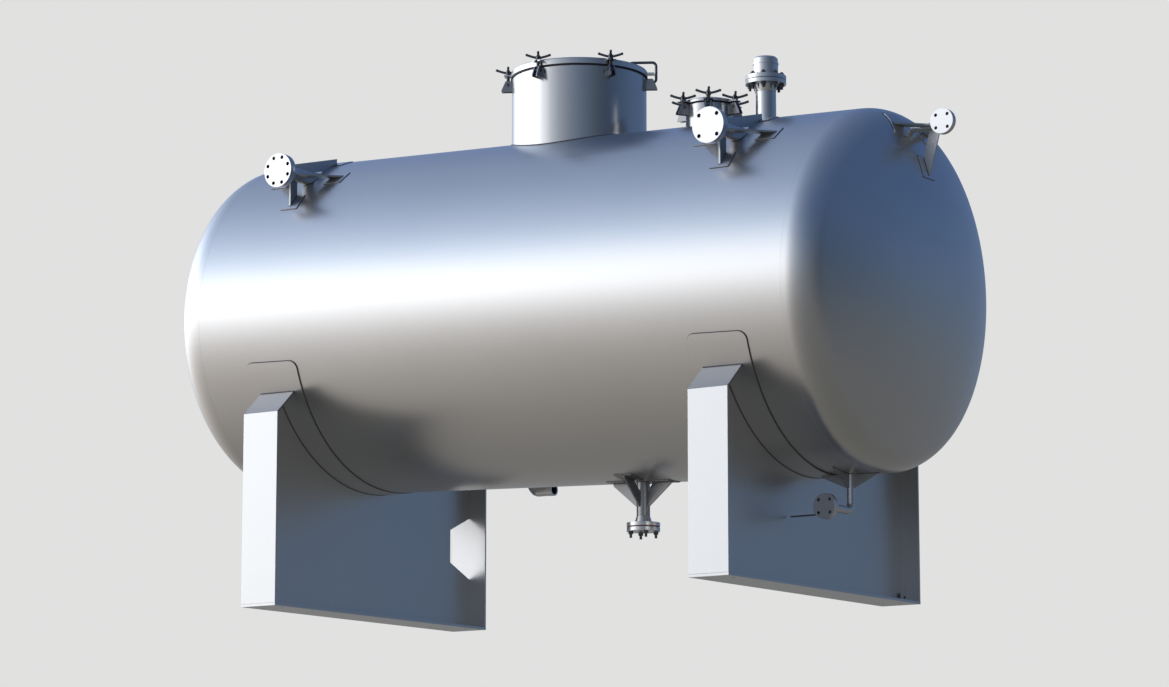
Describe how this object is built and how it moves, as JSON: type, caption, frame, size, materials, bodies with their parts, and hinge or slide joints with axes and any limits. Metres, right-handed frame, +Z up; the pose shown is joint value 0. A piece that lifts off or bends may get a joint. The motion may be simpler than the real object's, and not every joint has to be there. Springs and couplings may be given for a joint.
{
  "type": "horizontal pressure tank on two saddles",
  "caption": "Horizontal stainless pressure tank with dished ends on two plate saddles, with a clamped manway, a hand hole, flanged branches, a drain and a vent valve.",
  "frame": {"origin": "floor level, midway between the two saddles, at the centre of the outer anchor holes", "axes": "+X along the tank towards its low end, +Y to the back, +Z up; the flanged inlets face -Y"},
  "size_m": [4.9497, 2.04, 3.177],
  "materials": {
    "vessel_steel": "satin ground stainless steel sheet",
    "pipe_steel": "satin stainless steel pipe",
    "flange_steel": "turned stainless steel",
    "plate_steel": "cut stainless steel plate",
    "clamp_steel": "cast stainless steel, dull",
    "saddle_steel": "pickled stainless steel plate",
    "seal": "black rubber gasket",
    "red_seal": "dark red flat gasket"
  },
  "bodies": {
    "root": {"shell": "vessel_steel", "left_end": "vessel_steel", "right_end": "vessel_steel", "manway_neck": "pipe_steel", "manway_gasket": "seal", "manway_cover": "pipe_steel", "manway_clamps": "clamp_steel", "manway_arm": "clamp_steel", "hand_hole_neck": "pipe_steel", "hand_hole_gasket": "seal", "hand_hole_cover": "pipe_steel", "hand_hole_clamps": "clamp_steel", "left_inlet_flange": "flange_steel", "left_inlet_pipe": "pipe_steel", "left_inlet_braces": "plate_steel", "left_inlet_pads": "vessel_steel", "right_inlet_flange": "flange_steel", "right_inlet_pipe": "pipe_steel", "right_inlet_braces": "plate_steel", "right_inlet_pads": "vessel_steel", "end_nozzle_flange": "flange_steel", "end_nozzle_pipe": "pipe_steel", "end_nozzle_braces": "plate_steel", "end_nozzle_pads": "vessel_steel", "drain_pipe": "pipe_steel", "drain_flange": "flange_steel", "drain_gasket": "red_seal", "drain_cover": "flange_steel", "drain_braces": "plate_steel", "drain_pads": "vessel_steel", "outlet_pipe": "pipe_steel", "outlet_flange": "flange_steel", "outlet_braces": "plate_steel", "outlet_valve": "flange_steel", "outlet_lever": "clamp_steel", "rear_outlet_pipe": "pipe_steel", "rear_outlet_socket": "flange_steel", "vent_pipe": "pipe_steel", "vent_flange": "flange_steel", "vent_gasket": "seal", "vent_valve": "flange_steel", "left_saddle_base": "saddle_steel", "left_saddle_web": "saddle_steel", "left_saddle_front": "saddle_steel", "left_saddle_back": "saddle_steel", "left_saddle_front_cap": "saddle_steel", "left_saddle_back_cap": "saddle_steel", "left_saddle_pad": "vessel_steel", "right_saddle_base": "saddle_steel", "right_saddle_web": "saddle_steel", "right_saddle_front": "saddle_steel", "right_saddle_back": "saddle_steel", "right_saddle_front_cap": "saddle_steel", "right_saddle_back_cap": "saddle_steel", "right_saddle_pad": "vessel_steel", "earthing_lug": "saddle_steel"}
  },
  "joints": []
}
